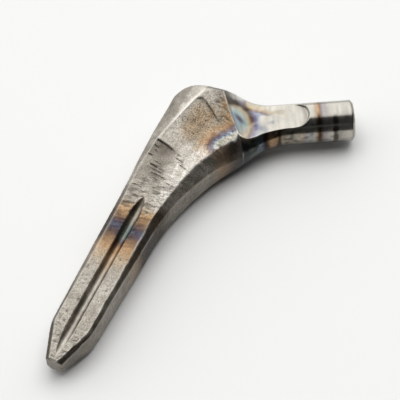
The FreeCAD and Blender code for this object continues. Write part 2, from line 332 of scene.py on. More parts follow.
def eased(count):
    # shares 0 to 1 that crowd a little towards both ends, without the first
    t = np.arange(1, count + 1) / count
    return t - 0.12 * np.sin(2 * np.pi * t) / (2 * np.pi)


def sectionHalf(k, counts, top):
    # one half of a section, as rows of x, y, z and a zone number
    place = places[k]
    start, end = innerEnds[k], outerEnds[k]
    width = np.hypot(*(end - start))
    heading = (end - start) / width
    tables = {name: float(easedTable(rows, place)) for name, rows in bevel.items()}
    nearTip = float(np.clip((-stem["taperStart"] - place) / (stem["tipReach"] - stem["taperStart"]), 0, 1))
    neckShare = 0.5 * (tables["outerNeckShare"] + tables["innerNeckShare"])
    axisPlace = -(start @ acrossNeck) / ((end - start) @ acrossNeck) * width if place > 0 else width / 2

    def faceAt(x):
        taperEnd = stem["tipHeights"][0 if top else 1]
        plain = stem["halfThickness"] + slope * x
        atTaper = stem["halfThickness"] - slope * stem["taperStart"]
        plain = plain + (atTaper + (taperEnd - atTaper) * nearTip - plain) * (nearTip > 0)
        return plain + (stem["neckRadius"] - plain) * neckShare

    sides = []
    for name, edgePath, flip in (("inner", innerFaceEdge, False), ("outer", outerFaceEdge, True)):
        share = tables[name + "NeckShare"]
        hit = crossing(start, end, edgePath)
        if hit is None:
            hit = 0.25 if not flip else 0.75
        bodyWidth = (1 - hit) * width if flip else hit * width
        if not flip and place <= rootStation:
            bodyWidth += edgeChips(place)
        neckWidth = width - axisPlace if flip else axisPlace
        bevelWidth = max(0.3, bodyWidth) * (1 - share) + neckWidth * share
        drop = tables[name + "Drop"]
        if not top and nearTip > 0:
            drop = drop + (1.3 - drop) * nearTip
        sides.append((bevelWidth, drop, tables[name + "Round"]))

    def profile(side, turn):
        # turn 0 at the wall, 1 at the face: distance in from the side, and height
        bevelWidth, drop, roundness = sides[side]
        angle = turn * math.pi / 2
        inwards = bevelWidth * ((1 - np.cos(angle)) * roundness + turn * (1 - roundness))
        rise = drop * (np.sin(angle) * roundness + turn * (1 - roundness))
        return inwards, rise

    def planAt(v):
        return start + np.outer(np.atleast_1d(v), heading)

    halves = []
    for side in (0, 1):
        turns = np.linspace(0, 1, 120)
        inwards, rise = profile(side, turns)
        v = inwards if side == 0 else width - inwards
        points = planAt(v)
        face = faceAt(points[:, 0])
        heights = face - sides[side][1] + rise
        limit = 1.0
        if place >= rootStation:
            cut = milledHeight(points, face)
            if place > 33.5:
                cut = np.minimum(cut, stem["flatHeight"])
            over = heights - cut
            if over.max() > 0:
                i = int(np.argmax(over > 0))
                partWay = -over[i - 1] / (over[i] - over[i - 1]) if i else 0
                limit = turns[max(i - 1, 0)] + turns[1] * partWay
        halves.append(limit)

    def sidePoints(side):
        drop = sides[side][1]
        wallTop = faceAt(planAt(0 if side == 0 else width)[0, 0]) - drop
        wall = np.linspace(0, 1, counts["wall"] + 1)
        rows = [(0.0 if side == 0 else width, max(wallTop, 0.0) * w, 0) for w in wall]
        for turn in eased(counts["bevel"]) * halves[side]:
            inwards, rise = profile(side, turn)
            v = inwards if side == 0 else width - inwards
            height = faceAt(planAt(v)[0, 0]) - drop + rise
            rows.append((float(v), float(height), 1))
        return rows

    innerRows, outerRows = sidePoints(0), sidePoints(1)
    vIn, vOut = innerRows[-1][0], outerRows[-1][0]
    middle = None
    if place < 0:
        radius, depth = straightTable(groove["radius"], place), straightTable(groove["depth"], place)
        gap = stem["halfThickness"] + slope * place - faceAt(place)
        inside = radius ** 2 - (radius - depth + gap) ** 2
        middle = float(np.clip(-start[1] / (end - start)[1], 0, 1)) * width
        cutHalf = math.sqrt(inside) if inside > 0 and depth > gap else 0.0
        grooveHalf = max(cutHalf, 0.35)
    centre = (vIn + vOut) / 2
    if middle is not None:
        blend = float(smoothStep(-33, -8, place))
        centre = middle * (1 - blend) + centre * blend
        grooveHalf = grooveHalf * (1 - blend) + 2.2 * blend
    else:
        grooveHalf = 2.2
    grooveHalf = min(grooveHalf, 0.3 * (vOut - vIn))
    stops = [vIn, centre - grooveHalf, centre + grooveHalf, vOut]
    vs = []
    for part, low, high in zip(("face", "groove", "face"), stops, stops[1:]):
        vs.append(low + (high - low) * (np.arange(1, counts[part] + 1) / counts[part]))
    vs = np.concatenate(vs)[:-1]
    shares = (vs - vIn) / (vOut - vIn)
    plan = planAt(vs)

    # sections bow along the root line and round the flat's end
    bow = np.zeros(len(vs))
    if place > -16:
        bow -= stem["rootLineBow"] * 4 * shares * (1 - shares) * math.exp(-((place - rootStation) / 6) ** 2)
        plan = plan + np.outer(bow, rootAcross)
    if place > 30:
        flatHalf, millRadius = stem["flatHalf"], stem["millRadius"]
        offset = np.clip(plan @ acrossNeck, -flatHalf, flatHalf)
        swell = np.sqrt(millRadius ** 2 - offset ** 2) - math.sqrt(millRadius ** 2 - flatHalf ** 2)
        fade = float(smoothStep(30, 34, place) * (1 - smoothStep(35, 47, place)))
        plan = plan + np.outer(swell * fade, alongNeck)

    face = faceAt(plan[:, 0])
    heights = face.copy()
    for side in (0, 1):
        bevelWidth, drop, roundness = sides[side]
        inwards = vs if side == 0 else width - vs
        share = np.clip(inwards / bevelWidth, 0, 1)
        angle = np.arccos(1 - share)
        rise = drop * (np.sin(angle) * roundness + share * (1 - roundness))
        heights = np.minimum(heights, face - drop + rise)
    heights = np.minimum(heights, milledHeight(plan, face))
    if place < groove["end"]:
        floor = stem["halfThickness"] + slope * plan[:, 0] + radius - depth
        floor = floor - np.sqrt(np.maximum(radius ** 2 - plan[:, 1] ** 2, 0))
        heights = np.where(abs(plan[:, 1]) < radius, np.minimum(heights, floor), heights)
    zones = np.where((vs > stops[1]) & (vs < stops[2]), 3, 2)
    rows = [(*planAt(v)[0], z, zone) for v, z, zone in innerRows]
    rows += [(p[0], p[1], z, zone) for p, z, zone in zip(plan, heights, zones)]
    rows += [(*planAt(v)[0], z, zone) for v, z, zone in reversed(outerRows)]
    return np.array(rows, float)


def edgeChips(place):
    # the forged inner edge is nibbled and wavy, most of all near the neck
    rough = 0.12 + 0.5 * float(smoothStep(-30, 2, place))
    spot = np.array([[place, 0.0]])
    wave = valueNoise(spot, 4.6, 11)[0] * 0.9 + valueNoise(spot, 1.4, 12)[0] * 0.5
    return rough * wave


def buildGrid():
    rings = []
    for k in range(len(places)):
        over = sectionHalf(k, upperCounts, True)
        under = sectionHalf(k, lowerCounts, False)
        under[:, 2] *= -1
        under = under[::-1][1:-1]
        under[:, 3] += 10
        rings.append(np.vstack([over, under]))
    return np.array(rings)


grid = buildGrid()
form, zones = grid[:, :, :3], grid[:, :, 3]
print("sections", form.shape)

# the neck's end: a small chamfer
reaches = form[:, :, 0] * alongNeck[0] + form[:, :, 1] * alongNeck[1]
offsets = form[:, :, 0] * acrossNeck[0] + form[:, :, 1] * acrossNeck[1]
beyond = np.clip((reaches - (stem["neckReach"] - stem["endChamfer"])) / stem["endChamfer"], 0, 1)
shrink = 1 - stem["endChamfer"] * beyond / stem["neckRadius"]
onEnd = beyond > 0
form[:, :, 0] = np.where(onEnd, reaches * alongNeck[0] + offsets * shrink * acrossNeck[0], form[:, :, 0])
form[:, :, 1] = np.where(onEnd, reaches * alongNeck[1] + offsets * shrink * acrossNeck[1], form[:, :, 1])
form[:, :, 2] = np.where(onEnd, form[:, :, 2] * shrink, form[:, :, 2])


def softened(rings, strength):
    # eases each section's corners, so that edges catch the light as worn metal does
    ahead, behind = np.roll(rings, -1, 1), np.roll(rings, 1, 1)
    return rings + strength * ((ahead + behind) / 2 - rings)


form = softened(form, stem["edgeSoftness"])


def gridNormals(rings):
    around = np.roll(rings, -1, 1) - np.roll(rings, 1, 1)
    along = np.gradient(rings, axis=0)
    normal = np.cross(around, along)
    normal /= np.maximum(np.linalg.norm(normal, axis=2, keepdims=True), 1e-9)
    return normal


normals = gridNormals(form)
topRow = np.argmax(form[280, :, 2])
if normals[280, topRow, 2] < 0:
    normals = -normals
print("form built")

# marks of forging: places on the broad face in millimetres, depth and half width for each cut
marks = {
    "crease": [(-10.3, 5.6), (-4.6, 4.35), (2.0, 2.8), (8.2, 1.15), (9.3, 0.5), (9.9, -0.7), (9.3, -2.1),
               (8.3, -3.6), (7.4, -4.9), (6.7, -5.9), (5.1, -7.8), (4.0, -9.3), (3.3, -10.8)],
    "creaseStep": 0.95, "creaseReach": 5.0,
    "creaseSteps": [(0, 0), (0.12, 0.22), (0.5, 0.34), (0.6, 0.5), (0.66, 0.8), (0.74, 1), (0.86, 0.8),
                    (1, 0)],
    "creaseDark": [(0, 0), (0.59, 0.0), (0.61, 0.2), (0.66, 0.4), (0.71, 0.7), (0.75, 0.95), (0.82, 1),
                   (0.86, 0.95), (0.94, 0.85), (1, 0.2)],
    "lap": [(-11.0, 6.2), (-11.2, 4.6), (-11.5, 3.2), (-12.0, 1.4), (-12.6, -0.4), (-13.4, -2.2),
            (-14.0, -3.8)],
    "lapStep": 0.8, "lapReach": 4.0,
    "lapSteps": [(0, 0.4), (0.05, 1), (0.55, 0.9), (0.85, 0.3), (1, 0)],
    "lapDark": [(0, 0.2), (0.05, 1), (0.42, 1), (0.6, 0.7), (0.75, 0.25), (0.97, 0)],
    "cuts": [([(-13.3, 6.2), (-13.9, 3.7)], 0.5, 0.24), ([(-17.4, 6.3), (-17.6, 4.5)], 0.5, 0.22),
             ([(-15.2, 5.2), (-15.6, 3.4)], 0.25, 0.2),
             ([(-20.7, 4.1), (-20.9, 2.4), (-21.2, 0.9)], 0.6, 0.26),
             ([(-21.3, 0.4), (-21.8, -2.0)], 0.3, 0.2),
             ([(-22.2, 3.3), (-22.6, 0.0), (-22.8, -2.4)], 0.28, 0.22),
             ([(-23.7, 2.6), (-23.9, -0.4), (-24.4, -3.8)], 0.3, 0.2),
             ([(-19.2, 3.2), (-19.8, 0.0)], 0.3, 0.22), ([(-25.2, 1.8), (-25.8, -1.5)], 0.2, 0.2),
             ([(-13.8, -2.9), (-14.3, -4.6)], 0.35, 0.22), ([(-15.3, -2.9), (-16.1, -6.2)], 0.5, 0.22),
             ([(-17.2, -5.0), (-18.1, -8.3)], 0.45, 0.22), ([(-16.4, -4.2), (-17.0, -7.0)], 0.2, 0.2),
             ([(-30.0, 5.6), (-30.0, 3.8), (-30.3, 1.8)], 0.3, 0.2),
             ([(-32.0, 3.0), (-32.3, 1.4)], 0.16, 0.22), ([(-31.9, 0.2), (-31.5, -1.6)], 0.2, 0.32),
             ([(-33.5, 4.9), (-34.0, 2.2)], 0.14, 0.25), ([(-25.5, -4.0), (-25.9, -7.4)], 0.15, 0.25),
             ([(-30.9, 0.6), (-31.2, -0.9)], 0.22, 0.3),
             ([(-37.8, -2.6), (-38.0, -5.0)], 0.14, 0.22), ([(-35.2, -3.6), (-35.0, -5.4)], 0.14, 0.22),
             ([(12.2, -5.7), (12.5, -8.1)], 0.3, 0.22), ([(10.3, -5.4), (11.2, -7.3)], 0.22, 0.2),
             ([(8.8, -6.9), (9.2, -9.7)], 0.26, 0.22), ([(6.5, -3.9), (7.3, -6.5)], 0.2, 0.18),
             ([(7.0, -8.6), (7.3, -9.8)], 0.24, 0.22),
             ([(2.4, -15.2), (1.0, -16.4)], 0.3, 0.25), ([(-0.6, -13.6), (-1.8, -15.0)], 0.24, 0.22),
             ([(-85.0, 5.0), (-85.9, 2.6)], 0.3, 0.2), ([(-88.6, 3.8), (-89.2, 1.9)], 0.12, 0.22),
             ([(-90.6, 2.6), (-90.9, 1.2)], 0.12, 0.22), ([(-87.6, -2.4), (-87.8, -4.4)], 0.14, 0.22)],
    "pocks": [(-63.6, 5.0, 0.5), (-75.3, 2.2, 0.45), (-80.6, 3.6, 0.4), (-83.4, 4.6, 0.7),
              (-83.8, 2.9, 0.6), (-57.0, -3.4, 0.35), (-69.0, -4.4, 0.35), (-48.6, 4.3, 0.3),
              (-1.0, 1.4, 0.4), (0.6, -2.2, 0.45), (-3.6, -0.6, 0.4), (4.6, -1.4, 0.4), (2.2, -5.6, 0.35),
              (-4.4, -4.0, 0.35)],
}


# how the surface is worked: heights in millimetres, and shades from -1 for dark scale and painted shade to 1
# for rubbed bright metal and painted light
work = {
    "patchCentre": (1.5, -3.6), "patchHalf": (7.5, 6.0), "skin": 0.75, "patchSkin": 0.6, "grooveSkin": 0.35,
    "chatter": 0.15, "chatterPatches": 0.4, "chatterMiddle": 0.95, "chatterTip": 0.8, "grooveChatter": 0.2,
    "sideChatter": 0.25, "hammerDepths": (0.17, 0.08), "slowShades": (0.14, 0.16),
    "lipHeight": 0.22, "foldHalf": {"crease": 0.2, "lap": 0.3}, "lapShade": 0.5,
    "cutDepth": 0.7, "pockDepth": 0.3, "pockDark": 0.6,
    "patchDark": 0.26, "upperDark": 0.42, "pitsDark": 0.6,
    "noseShade": 0.95, "grooveWallShade": 0.8, "grooveFootShade": 0.5, "floorPale": 0.12,
    "facetLight": 0.24, "crestLight": 0.4, "facetShade": 0.22, "stripShade": 0.2, "innerShade": 0.2,
    "shaftBevelShade": 0.25, "tipBevelShade": 0.45, "sideDark": 0.12, "tipSideShade": 0.35,
}


def workSurface():
    # the last number given to valueNoise is its seed, and the one before it the size of its patches
    flatForm = form.reshape(-1, 3)
    plan = flatForm[:, :2]
    x, y = plan.T
    zone = zones.reshape(-1)
    upper = zone < 10
    base = np.where(upper, zone, zone - 10)
    inGroove = (base == 3) & (x < groove["end"])
    onTop = (base >= 2) * upper
    station = np.repeat(places, form.shape[1])
    onBody = 1 - smoothStep(rootStation - 0.5, rootStation + 0.05, station)

    # the fine relief is weak in the groove, and strong on the sunken patch by the shoulder and at the tip
    (patchX, patchY), (patchLong, patchWide) = work["patchCentre"], work["patchHalf"]
    inPatch = hump(x, patchX, patchLong) * hump(y, patchY, patchWide) * onTop
    skin = onBody * (work["skin"] + work["patchSkin"] * inPatch) * np.where(inGroove, work["grooveSkin"], 1)
    patches = smoothStep(-0.1, 0.7, valueNoise(flatForm, (9, 6, 8), 5))
    chatter = work["chatter"] + work["chatterPatches"] * patches
    chatter = (chatter + work["chatterMiddle"] * hump(station, -36, 11)
               + work["chatterTip"] * hump(station, -92, 6))
    chatter = (chatter * np.where(inGroove, work["grooveChatter"], 1)
               * np.where(base >= 2, 1, work["sideChatter"]))
    chatter = chatter * onBody

    # slow unevenness left by the hammer, everywhere on the block
    beaten = onBody * (0.3 + 0.7 * smoothStep(-45, -20, station))
    broad, close = work["hammerDepths"]
    push = beaten * broad * valueNoise(flatForm, (11, 7, 9), 1)
    push += beaten * close * valueNoise(flatForm, (3.6, 2.8, 3.2), 2)
    broad, close = work["slowShades"]
    tone = onBody * (broad * valueNoise(flatForm, (7, 5, 6), 3)
                     + close * valueNoise(flatForm, (2.2, 1.6, 2), 4))
    foldShadowAndScale = np.zeros(len(flatForm))
    paths = onTop * onBody * np.where(inGroove, 0, 1)

    # two overlaps where one skin of metal was beaten over another: a step, with a painted shadow along its
    # foot
    uneven = 0.95 + 0.3 * valueNoise(plan, 0.9, 41)
    for name, half in work["foldHalf"].items():
        near, along, side = pathNear(plan, marks[name])
        signed = near * side
        ends = straightTable(marks[name + "Steps"], along)
        below = np.exp(-near / marks[name + "Reach"]) * smoothStep(0.22, -0.22, signed)
        lip = work["lipHeight"] * np.exp(-near / 1.2) * smoothStep(-0.2, 0.3, signed)
        push += paths * ends * marks[name + "Step"] * (lip - below)
        dark = straightTable(marks[name + "Dark"], along) * uneven * hump(signed, -0.12, half)
        foldShadowAndScale = np.maximum(foldShadowAndScale, paths * dark)
        # on the lap's low side the face is painted darker too, a painted shadow fading away from the step
        if name == "lap":
            shaded = np.exp(-near / 3.4) * (side < 0) * ends * (1 + 0.4 * valueNoise(plan, (1.2, 0.8), 42))
            tone -= paths * work["lapShade"] * shaded

    broken = np.clip(0.85 + 0.3 * valueNoise(plan, (0.9, 2.5), 45), 0, 1)
    for path, depth, half in marks["cuts"]:
        near, along, side = pathNear(plan, path)
        ends = smoothStep(0, 0.15, along) * (1 - smoothStep(0.78, 1.0, along)) + 0.08
        ridge = 0.4 * hump(near * side, 2.0 * half, 1.2 * half)
        push -= paths * work["cutDepth"] * depth * ends * (hump(near, 0, 0.8 * half) - ridge)
        dark = min(0.8, 1.2 * depth) * ends * broken * hump(near, 0, 0.55 * half)
        foldShadowAndScale = np.maximum(foldShadowAndScale, paths * dark)
    for pockX, pockY, size in marks["pocks"]:
        far = np.hypot(x - pockX, y - pockY)
        push -= paths * work["pockDepth"] * hump(far, 0, size)
        foldShadowAndScale = np.maximum(foldShadowAndScale, paths * work["pockDark"] * hump(far, 0, 0.8 * size))

    # the face: a pale middle, a darker upper half past the lap, the sunken patch, small pits by the root line
    pale = smoothStep(-40, -33, x) * smoothStep(-5.5, -11, x) * smoothStep(-1.6, -5.2, y)
    upperHalf = smoothStep(-3.4, 0.6, y) * smoothStep(-11.2, -13, x) * smoothStep(-33, -22, x)
    crowded = hump(pastRootLine(plan), -2.2, 2.0) * smoothStep(-3.5, -6, y) * smoothStep(2, 6, x)
    crowded = crowded * smoothStep(0.15, 0.6, valueNoise(plan, (0.55, 0.9), 46))
    tone += paths * pale * (0.65 + 0.5 * valueNoise(plan, (3.0, 0.8), 43))
    tone -= paths * (work["patchDark"] * inPatch + work["upperDark"] * upperHalf + work["pitsDark"] * crowded)

    # the groove: painted shade on its outer wall, at the inner wall's foot and over its nose, and a paler
    # floor by the tip
    wall = work["grooveWallShade"] * smoothStep(-0.2, 0.5, y) + work["grooveFootShade"] * smoothStep(-1.1, -1.6, y)
    nose = work["noseShade"] * smoothStep(-40.5, -34.5, x) * upper
    floor = work["floorPale"] * (1 - smoothStep(-52, -48, x))
    tone += onBody * np.where(inGroove, floor - wall - nose, 0)

    # the upper bevels: painted light beside the shoulder's ridge and over the crest, painted shade elsewhere
    # and most towards the tip
    bevelled = onBody * upper * (base == 1)
    paintedLightFacet = smoothStep(5.4, 4.0, y) * smoothStep(-6, 1, x) * (y > -7)
    tone += bevelled * work["facetLight"] * paintedLightFacet
    tone += bevelled * work["crestLight"] * smoothStep(10.5, 13.5, x) * (y > -7)
    outerShade = work["facetShade"] * (1 - paintedLightFacet) * smoothStep(-30, -15, x)
    outerShade = outerShade + work["stripShade"] * smoothStep(-25, -35, x)
    innerShade = work["innerShade"] * (1 + smoothStep(-28, -42, x))
    shaftShade = work["shaftBevelShade"] + work["tipBevelShade"] * smoothStep(-70, -90, x)
    tone -= bevelled * (np.where(y > 0, outerShade, innerShade) + shaftShade * smoothStep(-20, -45, x))

    # the sides keep more of the dark forging skin; towards the tip the wall is painted darker still, a
    # painted shade
    sideDark = work["sideDark"] * (1 + valueNoise(flatForm, (4, 3, 2), 44))
    tone -= onBody * np.where(base < 2, sideDark, 0)
    tone -= onBody * work["tipSideShade"] * (base == 0) * smoothStep(-74, -92, x)
    return push, onBody, skin, chatter, tone, foldShadowAndScale


push, onBody, skin, chatter, tone, foldShadowAndScale = workSurface()
worked = form + normals * push.reshape(form.shape[:2])[:, :, None]
print("marks worked in")

# heat colours. Oxide is how far the film has grown, which gives its colour; tint is how strong the colour is
heatBands = {
    "shaftCentre": -46.0,
    "shaftRight": [(0, 0.385), (0.5, 0.35), (1.2, 0.30), (2.0, 0.25), (3.6, 0.19), (6.0, 0.14), (8.2, 0.08),
                   (10.5, 0.02), (13, 0)],
    "shaftLeft": [(0, 0.385), (0.6, 0.35), (1.5, 0.30), (2.6, 0.25), (4.8, 0.185), (7.5, 0.13),
                  (10.5, 0.08), (15, 0.03), (19, 0)],
    "grooveCentre": -45.4,
    "grooveRight": [(0, 0.48), (1.4, 0.50), (2.4, 0.545), (3.4, 0.585), (5, 0.6), (11, 0.6)],
    "grooveLeft": [(0, 0.48), (2.4, 0.485), (3.5, 0.48), (4.1, 0.33), (4.9, 0.28), (5.9, 0.235),
                   (7.0, 0.19), (8.8, 0.155), (11.5, 0.11), (17, 0.05), (24, 0)],
    "cornerPath": [(-10.4, -14.0), (-8.7, -12.3), (-7.2, -11.1), (-5.2, -10.6), (-3.0, -11.0),
                   (-1.0, -12.1), (1.0, -13.6), (4.2, -15.4), (7, -17)],
    "corner": [(-8, 0), (-5.5, 0.03), (-3.8, 0.07), (-2.6, 0.115), (-1.6, 0.15), (-0.9, 0.185),
               (-0.5, 0.235), (-0.15, 0.265), (0.4, 0.285), (0.9, 0.315), (1.25, 0.36), (1.5, 0.42),
               (1.75, 0.53), (2.2, 0.55), (5, 0.56)],
    "patch": 0.075, "spot": 0.345,
    "streak": [(-0.9, 1), (-0.45, 0.80), (0.0, 0.75), (0.5, 0.69), (1.1, 0.63), (2.2, 0.59), (4, 0.56),
               (9, 0.55)],
    "ringCentre": (15.5, -1.5), "ringHalf": (5.8, 7.8),
    "ring": [(0, 0.44), (0.4, 0.455), (0.62, 0.51), (0.78, 0.565), (0.9, 0.63), (0.98, 0.71), (1.04, 0.745),
             (1.14, 0.785), (1.28, 0.825), (1.4, 0.885), (1.52, 0.94), (1.8, 1.0), (9, 1.0)],
    "under": [(8, 0.30), (12, 0.36), (17, 0.40), (21, 0.47), (24, 0.43), (25.2, 0.30), (26.0, 0.21),
              (27.6, 0.12), (29.4, 0.10), (30.4, 0.24), (31.2, 0.08), (36, 0.05), (38.5, 0.2), (40, 0.48),
              (42, 0.3)],
    "underTint": [(8, 0.9), (24, 0.75), (29.5, 0.9), (31.2, 0.45), (36, 0.3), (39, 0.35), (41.5, 0.25),
                  (43, 0)],
    "trunnion": [(42.0, 0.0), (42.8, 0.07), (43.9, 0.13), (44.4, 0.2), (44.9, 0.27), (45.6, 0.31),
                 (47, 0.3), (48, 0.3)],
    "trunnionTint": [(42.0, 0), (42.8, 0.6), (44.3, 0.9), (44.9, 0.65), (45.8, 0.3), (47.2, 0.14),
                     (48.4, 0)],
}


# how much darker the heated places are, or paler where the amount is named pale; amounts named shade are
# painted shade, not heat colour
heatShades = {
    "innerSides": 1.5, "outerSides": 0.9, "farSide": 0.25, "band": 0.40, "bandMiddle": 0.25,
    "grooveEnd": 0.15, "cornerBevel": 1.1, "cornerWall": 0.75, "byRoot": 0.3, "pale": 0.3,
    "palePatchy": 0.8, "silverPale": 0.3, "rootTopShade": 0.85, "rings": 0.34, "spot": 0.55,
    "flat": 0.10, "flatEnd": 0.14, "ringLine": 0.6, "cloud": 0.12, "millEndShade": 0.3,
    "innerRootShade": 0.9, "innerNeckShade": 0.55, "innerAllShade": 0.2, "innerMottle": 0.5,
    "goldLine": 0.6, "thinLine": 0.5, "heatRing": 0.85, "dullRingShade": 0.75, "endLine": 0.5,
}


def heatFields():
    bands, shade = heatBands, heatShades
    flatForm = form.reshape(-1, 3)
    plan = flatForm[:, :2]
    x, y = plan.T
    reach, offset = plan @ alongNeck, plan @ acrossNeck
    station = np.repeat(places, form.shape[1])
    zone = zones.reshape(-1)
    base = np.where(zone < 10, zone, zone - 10)
    onFace = base >= 2
    inGroove = (base == 3) & (x < groove["end"])
    coarse = valueNoise(flatForm, (5, 4, 5), 21)
    fine = valueNoise(flatForm, (1.3, 1.1, 1.3), 22)
    grainy = valueNoise(flatForm, 0.6, 23)
    fingers = valueNoise(np.column_stack([x + 0.2 * y, y]), (0.5, 2.0), 26)
    sideways = -(normals.reshape(-1, 3)[:, :2] @ acrossNeck)
    onNeckPart = smoothStep(rootStation - 0.1, rootStation + 0.1, station)

    def twoSided(left, right, away):
        return np.where(away > 0, straightTable(bands[right], away), straightTable(bands[left], -away))

    # across the shaft, blue at its middle and longer in the groove
    away = x - bands["shaftCentre"] + 0.7 * coarse + 0.35 * fine + 0.5 * fingers
    awayIn = x - bands["grooveCentre"] + 0.5 * coarse + 0.2 * fine
    shaft = np.where(inGroove, twoSided("grooveLeft", "grooveRight", awayIn),
                     twoSided("shaftLeft", "shaftRight", away))
    nearBand = hump(away, -1.5, 6.0)
    sideBand = hump(x, -45, 7) + shade["farSide"] * hump(x, -36, 12) * (base == 0) * (y < 0)
    sideBand = sideBand * np.where(y < 0, shade["innerSides"], shade["outerSides"])
    bodyTone = -np.where(onFace, shade["band"] * nearBand, sideBand)
    bodyTone -= np.where(inGroove, 0, shade["bandMiddle"]) * hump(away, 0, 2.4) * onFace
    bodyTone -= np.where(inGroove, shade["grooveEnd"] * hump(x, -49, 4.5), 0)
    bodyTone += 0.2 * fingers * nearBand * onFace * (1 - inGroove)

    # the block's inner corner by the neck: straw, orange, purple, then blue and silver at the edge
    near, _, side = pathNear(plan, bands["cornerPath"])
    way = -near * side + 0.3 * coarse + 0.25 * fine + 0.45 * fingers
    toRoot = -pastRootLine(plan)
    patchHeat = bands["patch"] * np.exp(-((x - 0.5) / 8.5) ** 4 - ((y + 4.2) / 5.4) ** 4)
    corner = np.maximum(straightTable(bands["corner"], way), patchHeat)
    besideRoot = ((0.15 - 0.06 * smoothStep(5, 9, x)) * hump(toRoot, 0, 3.6)
                  * smoothStep(-4, -9, y) * (1 + 0.3 * fine))
    corner = np.maximum(corner, np.where(onFace, besideRoot, 0))
    # on its side the colours are dark, brown next to navy by the root
    innerSide = (base < 2) & (y < 0)
    corner = np.where(innerSide, 0.40 * hump(toRoot, 0, 4.2) + 0.15 * hump(toRoot, 7, 3.5), corner)
    corner = np.where((base < 2) & (y > -6), 0, corner)
    cornerDark = np.where(base == 1, shade["cornerBevel"], shade["cornerWall"])
    bodyTone -= np.where(innerSide, cornerDark * hump(toRoot, 0, 6), 0)
    byRoot = hump(toRoot, 0, 4.5) * smoothStep(2, -7, y) * smoothStep(0.2, -1.5, way)
    bodyTone -= shade["byRoot"] * byRoot * onFace
    bodyTone += hump(way, 2.5, 1.3) * onFace * (shade["pale"] + shade["palePatchy"] * fingers)
    bodyTone += shade["silverPale"] * hump(way, -1.9, 1.2) * smoothStep(3, -1, x) * onFace

    # rings on the neck's hollow run-out, round a blue spot, open towards the inner side
    (ringReach, ringOffset), (ringLong, ringWide) = bands["ringCentre"], bands["ringHalf"]
    ring = np.hypot((reach - ringReach) / ringLong, (offset - ringOffset) / ringWide)
    ring = ring + 0.045 * coarse + 0.03 * fine
    a, b = reach - 17.3, offset + 0.1
    spot = hump(0.57 * a - 0.82 * b, 0, 2.1) * hump(0.82 * a + 0.57 * b, 0, 0.9)
    rings = straightTable(bands["ring"], ring)
    rings = rings + (bands["spot"] - rings) * spot
    lower = smoothStep(-3.0, -7.5, offset) * smoothStep(1.15, 0.7, ring)
    rings = rings + (0.6 - rings) * lower * smoothStep(0.4, 0.7, ring) * 0.4
    # above the rings a straw streak runs along the neck, parted from the pale blue by a purple line
    above = offset - (3.3 - 0.37 * (reach - 21.5)) + 0.25 * coarse + 0.1 * fine
    blend = smoothStep(-0.9, -0.2, above) * smoothStep(1.02, 1.12, ring) * smoothStep(19, 21, reach)
    neckHeat = rings + (straightTable(bands["streak"], above) - rings) * blend
    neckTint = 0.68 - 0.28 * smoothStep(21, 28, reach) - 0.3 * smoothStep(28, 38, reach)
    neckTint = neckTint * (1 - 0.35 * lower) * (1 - 0.75 * blend * smoothStep(23.5, 29, reach))
    neckTint = neckTint * (1 - 0.8 * smoothStep(7.0, 9.0, offset))
    # painted shade at the top of the hollow run-out by the root line
    neckTone = -shade["rootTopShade"] * hump(reach, 13.4, 4.0) * smoothStep(3.6, 6.8, offset)
    neckTone -= shade["rings"] * smoothStep(1.15, 0.7, ring) + shade["spot"] * spot
    neckTone -= shade["ringLine"] * hump(ring, 1.06, 0.16) * smoothStep(-4, 3, offset)
    brushed = 0.10 * coarse + 0.12 * valueNoise(np.column_stack([reach, offset]), (0.8, 3.5), 25)
    neckTone -= onFace * (shade["flat"] + shade["flatEnd"] * smoothStep(30, 37, reach) + brushed)
    # painted shade along the flat's round end, where the cut steps up
    neckTone -= shade["millEndShade"] * hump(reach + 0.06 * offset ** 2, 39.6, 0.9) * onFace
    # cloudy pearl on the flat, where the film is uneven
    cloudy = smoothStep(-0.2, 0.6, valueNoise(np.column_stack([reach, offset]), (3.2, 2.0), 27)
                        + 0.4 * fine)
    cloudy = cloudy * smoothStep(18, 21, reach) * (1 - smoothStep(31, 35, reach)) * onFace
    neckHeat = neckHeat - 0.13 * cloudy * smoothStep(0.9, 1.0, neckHeat)
    neckTint = np.minimum(1, neckTint + 0.35 * cloudy)
    neckTone -= shade["cloud"] * cloudy

    # round the inner side of the neck: navy, gold, then grey-brown, with thin dark lines
    inner = smoothStep(0.25, 0.6, sideways) * onNeckPart
    wobbling = reach + 0.5 * coarse + 0.2 * fine
    neckHeat = neckHeat * (1 - inner) + straightTable(bands["under"], wobbling) * inner
    neckTint = neckTint * (1 - inner) + straightTable(bands["underTint"], wobbling) * inner
    # the inner side is painted darker over most of the neck, a painted shade, with mottling on it
    innerShade = shade["innerRootShade"] * hump(reach, 14, 5) + shade["innerNeckShade"] * smoothStep(34, 20, reach)
    innerShade = innerShade + shade["innerAllShade"] * smoothStep(46, 30, reach)
    innerShade = innerShade + (0.35 * smoothStep(27, 31, reach) * (1 - smoothStep(50, 54, reach))
                             * (1 + 0.9 * fine + 0.6 * coarse))
    mottled = (smoothStep(0, 0.8, valueNoise(flatForm, (1.5, 1.5, 0.9), 28))
               * (1 - smoothStep(40, 44, reach)))
    lines = shade["goldLine"] * hump(reach, 25.6, 0.8) + shade["thinLine"] * hump(reach, 30.3, 0.45)
    neckTone -= inner * (innerShade + shade["innerMottle"] * mottled + lines)

    # the trunnion: an orange and violet ring; on its inner side the ring and a band nearer its end are
    # painted darker, a painted shade
    onTrunnion = smoothStep(41.6, 42.2, reach)
    trunnionReach = reach + 0.15 * coarse
    neckHeat = neckHeat * (1 - onTrunnion) + straightTable(bands["trunnion"], trunnionReach) * onTrunnion
    neckTint = (neckTint * (1 - onTrunnion)
                + straightTable(bands["trunnionTint"], trunnionReach) * onTrunnion)
